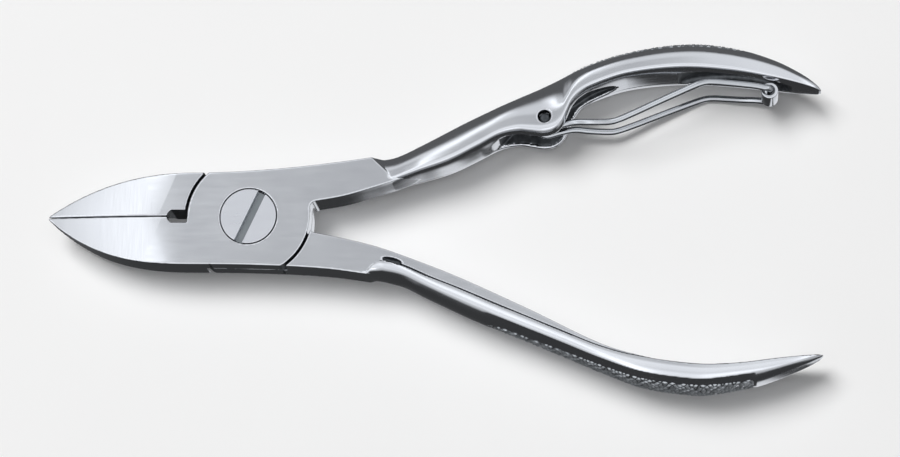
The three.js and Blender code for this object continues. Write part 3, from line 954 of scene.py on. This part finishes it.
def stepped(tree, value, stops):  # a value looked up in a list of positions and brightnesses
    low, high = stops[0][0], stops[-1][0]
    ramp = tree.nodes.new("ShaderNodeValToRGB")
    ramp.color_ramp.interpolation = "EASE"
    tree.links.new(ranged(tree, value, 0, 1, low, high), ramp.inputs["Fac"])
    elements = ramp.color_ramp.elements
    for i, (place, level) in enumerate(stops):
        stop = elements[i] if i < 2 else elements.new(1)
        stop.position = (place - low) / (high - low)
        stop.color = (level, level, level, 1)
    return ramp.outputs["Color"]


def maths(tree, operation, first, second):
    node = tree.nodes.new("ShaderNodeMath")
    node.operation = operation
    for value, socket in zip((first, second), node.inputs):
        if isinstance(value, float):
            socket.default_value = value
        else:
            tree.links.new(value, socket)
    return node.outputs["Value"]


def tintedTotal(tree, total):  # the whole surround, very slightly cool
    tint = tree.nodes.new("ShaderNodeMix")
    tint.data_type = "RGBA"
    tint.blend_type = "MULTIPLY"
    tint.inputs["Factor"].default_value = 1
    tint.inputs["B"].default_value = surround["tint"]
    tree.links.new(total, tint.inputs["A"])
    return tint.outputs["Result"]


def addSurround():
    world = bpy.data.worlds.new("studio")
    world.use_nodes = True
    world.cycles_visibility.diffuse = False
    tree = world.node_tree
    looked = tree.nodes.new("ShaderNodeTexCoord").outputs["Generated"]
    split = tree.nodes.new("ShaderNodeSeparateXYZ")
    tree.links.new(looked, split.inputs["Vector"])
    x, y, z = (split.outputs[axis] for axis in "XYZ")
    panels = maths(tree, "MAXIMUM", stepped(tree, x, surround["window"]), stepped(tree, y, surround["front"]))
    sky = maths(tree, "MULTIPLY", stepped(tree, z, surround["dome"]), panels)
    total = maths(tree, "ADD", sky, stepped(tree, y, surround["backWall"]))
    for name, across in (("frontWall", y), ("sideWall", maths(tree, "ABSOLUTE", x, 0.0))):
        wall = surround[name]
        glow = maths(tree, "MULTIPLY", stepped(tree, across, wall["toward"]), stepped(tree, z, wall["over"]))
        total = maths(tree, "ADD", total, glow)
    card = surround["card"]
    dot = tree.nodes.new("ShaderNodeVectorMath")
    dot.operation = "DOT_PRODUCT"
    dot.inputs[1].default_value = card["toward"]
    tree.links.new(looked, dot.inputs[0])
    side = stepped(tree, dot.outputs["Value"], card["spread"])
    total = maths(tree, "ADD", total, maths(tree, "MULTIPLY", side, stepped(tree, z, card["over"])))
    tree.links.new(tintedTotal(tree, total), tree.nodes["Background"].inputs["Color"])
    bpy.context.scene.world = world


# which finish goes where on the two halves, and where painted shade darkens the recesses

finishes = {  # distances in mm, the rest shares of a face's normal
    "flatNormal": 0.995,
    "flatSpan": (0.03, 0.05),  # a flat lies this close under and over the plate's face
    "grindNormal": 0.9,
    "grindShift": (0.05, -0.6),  # where the ground face starts past its line, on the upper and lower jaw
    "under": 0.12,  # painted shade in recesses starts this far below the face
    "lapDepth": 0.2,
    "lapNormal": 0.7,
    "wallNormal": 0.6,
    "wallNear": 0.12,
    "crotchHalf": 2.6,  # the plate's end is kept free of painted shade this far either side, where it shows
    "pocketLead": 0.9,  # the painted shade runs out this far between the cutting edges
    "pocketNear": 0.08,
    "near": 0.1,  # how close to a cut's ends, sides and floor a face counts as its wall
    "nearSide": 0.05,
    "seatRim": (0.12, 0.35),  # past the seat's floor, and kept free of painted shade at its rim
    "springSide": 6,  # seat and channel lie over this y
    "channelFloor": 0.25,
    "grooveArea": (21, -5),  # the line beside the rib lies past this x and under this y
    "grooveSide": 0.03,
    "grooveRim": 0.04,
    "scoopNear": (0.1, 0.35),  # along and across
    "slot": (0.5, 0.3),  # the screw's slot: least normal, least depth
}


def lapShadeWalls(x, y, z, nx, ny, nz):  # faces between the layers, and the round walls beside them, which get painted shade
    radius = np.hypot(x, y)
    outward = nx * x + ny * y
    near, steep = finishes["wallNear"], finishes["wallNormal"] * radius
    below = z < plateHalf - finishes["under"]
    level = (np.abs(z) < finishes["lapDepth"]) & (np.abs(nz) > finishes["lapNormal"])
    level &= radius < joint["shoulderRadius"] + finishes["near"]
    shoulder = (np.abs(radius - joint["shoulderRadius"]) < near) & (outward < -steep) & below
    ends = (np.abs(radius - joint["plateRadius"]) < near) & (outward > steep) & below
    return level | shoulder | ends & (np.abs(y) > finishes["crotchHalf"])


def pocketShadeWalls(x, y, z):
    left, right, half = jaws["pocket"]
    pocket = (x > left - finishes["pocketLead"]) & (x < right + finishes["near"])
    pocket &= np.abs(y) < half + finishes["pocketNear"]
    return pocket & (z < plateHalf - finishes["under"])


def seatShadeWalls(x, y, z):
    floor, rim = finishes["seatRim"]
    seat = (outside(x, *springHalf["seatEnds"][::3]) < finishes["near"]) & (y > finishes["springSide"])
    seat &= np.abs(z) < seatWidth(x) + finishes["nearSide"]
    seat &= above(through(springHalf["seatFloor"]), x, y) < floor
    return seat & (above(through(springHalf["inner"]), x, y) > rim)


def channelShadeWalls(x, y, z):
    inner, depth = through(springHalf["inner"])(x), through(springHalf["channelDepth"])(x)
    half = through(springHalf["channelHalf"])(x)
    walls = (outside(x, *springHalf["channel"]) < finishes["near"]) & (y > finishes["springSide"])
    walls &= np.abs(z) < half + finishes["nearSide"]
    return walls & (y < inner + depth + finishes["channelFloor"])


def grooveShadeWalls(x, y, z):
    rib, width = through(plainHalf["ribInner"]), through(plainHalf["groove"])(x)
    left, top = finishes["grooveArea"]
    groove = (np.abs(above(rib, x, y)) < width + finishes["grooveSide"]) & (x > left) & (y < top)
    return groove & (z > 0) & (z < plateHalf - finishes["grooveRim"])


def scoopShadeWalls(x, y, z):
    (sx, sy), reach = plainHalf["scoop"][0][:2], plainHalf["scoop"][1]
    along, across = finishes["scoopNear"]
    scoop = np.hypot((x - sx) / (reach[0] + along), (y + sy) / (reach[1] + across)) < 1
    return scoop & (z > 0) & (z < plateHalf - finishes["under"])


def chooseFinish(x, y, z, nx, ny, nz):  # 0 polished, 1 satin flats, 2 ground jaws, 3 painted shade in recesses and gaps
    under, over = finishes["flatSpan"]
    flat = np.abs(nz) > finishes["flatNormal"]
    flat &= (np.abs(z) > plateHalf - under) & (np.abs(z) < plateHalf + over)
    turn = math.radians(jaws["grindTurn"])
    past = -(x - jaws["grindStart"]) * math.cos(turn) - np.abs(y) * math.sin(turn)
    jaw = (nz > finishes["grindNormal"]) & (z > 0) & (past > np.where(y > 0, *finishes["grindShift"]))
    # painted shade: the dark steel goes on the gaps between the layers, the jaw pocket, seat, channel, groove
    # and hollow
    dark = lapShadeWalls(x, y, z, nx, ny, nz)
    for walls in (pocketShadeWalls, seatShadeWalls, channelShadeWalls, grooveShadeWalls, scoopShadeWalls):
        dark |= walls(x, y, z)
    return np.select([dark, jaw, flat], [3, 2, 1], 0)


def screwFinish(x, y, z, nx, ny, nz):  # 0 satin, 1 the floor of the slot, darkened as painted shade
    steep, deep = finishes["slot"]
    return (nz > steep) & (z < plateHalf - deep) & (np.hypot(x, y) < headRadius)


skins = {  # boxes the steel lies in, and the size of the cells it is sampled in
    "front": ((-32.4, -8.6, -5.3), (88, 28.4, 5.3)),
    "back": ((-32.4, -27.6, -5.3), (88, 8, 5.3)),
    "screw": ((-4.8, -4.8, -3.4), (4.8, 4.8, 3.4)),
    "cells": (0.4, 0.18),  # quick and full
}

addCamera()
cell = skins["cells"][1]
frontHalf = skinOf("frontHalf", frontHalfField, *skins["front"], cell)
backHalf = skinOf("backHalf", backHalfField, *skins["back"], cell)
screwPiece = skinOf("pivotScrew", screwField, *skins["screw"], screw["cell"])
pinPiece = makePin()
springPiece = makeSpring()
rollerPiece = makeRoller()
upperGrip = makeGrip("upperGrip", springHalf, 1)
lowerGrip = makeGrip("lowerGrip", plainHalf, -1)

steel = {name: makeSteel(name) for name in steels}
knurlSteel = makeKnurlSteel()
halfSteels = [steel[name] for name in ("polished", "satin", "ground", "dark")]
for half in (frontHalf, backHalf):
    paint(half, halfSteels, chooseFinish)
paint(screwPiece, (steel["satin"], steel["slot"]), screwFinish)
# the pin gets the dark steel as painted shade, for its ends down in their holes
for piece, material in ((pinPiece, steel["dark"]), (springPiece, steel["wire"]),
                        (rollerPiece, steel["polished"]), (upperGrip, knurlSteel), (lowerGrip, knurlSteel)):
    piece.data.materials.append(material)
makeFloor()
addLights()
addSurround()
bpy.context.scene.view_settings.view_transform = "Standard"
report("materials and lights")

stands = [  # piece, body it rides on, frame node it replaces, material slot
    (frontHalf, "front_half", "front_half", "forged_steel"),
    (backHalf, "back_half", "back_half", "forged_steel"),
    (screwPiece, "back_half", "pivot_screw", "screw_steel"),
    (pinPiece, "front_half", "spring_pin", "pin_steel"),
    (springPiece, "spring", "wire_spring", "spring_wire"),
    (rollerPiece, "roller", "roller", "roller_steel"),
]
for piece, body, node, slot in stands:
    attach(piece, body)
    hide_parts(node)
for piece, body in ((upperGrip, "front_half"), (lowerGrip, "back_half")):
    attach(piece, body)

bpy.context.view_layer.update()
report("done")
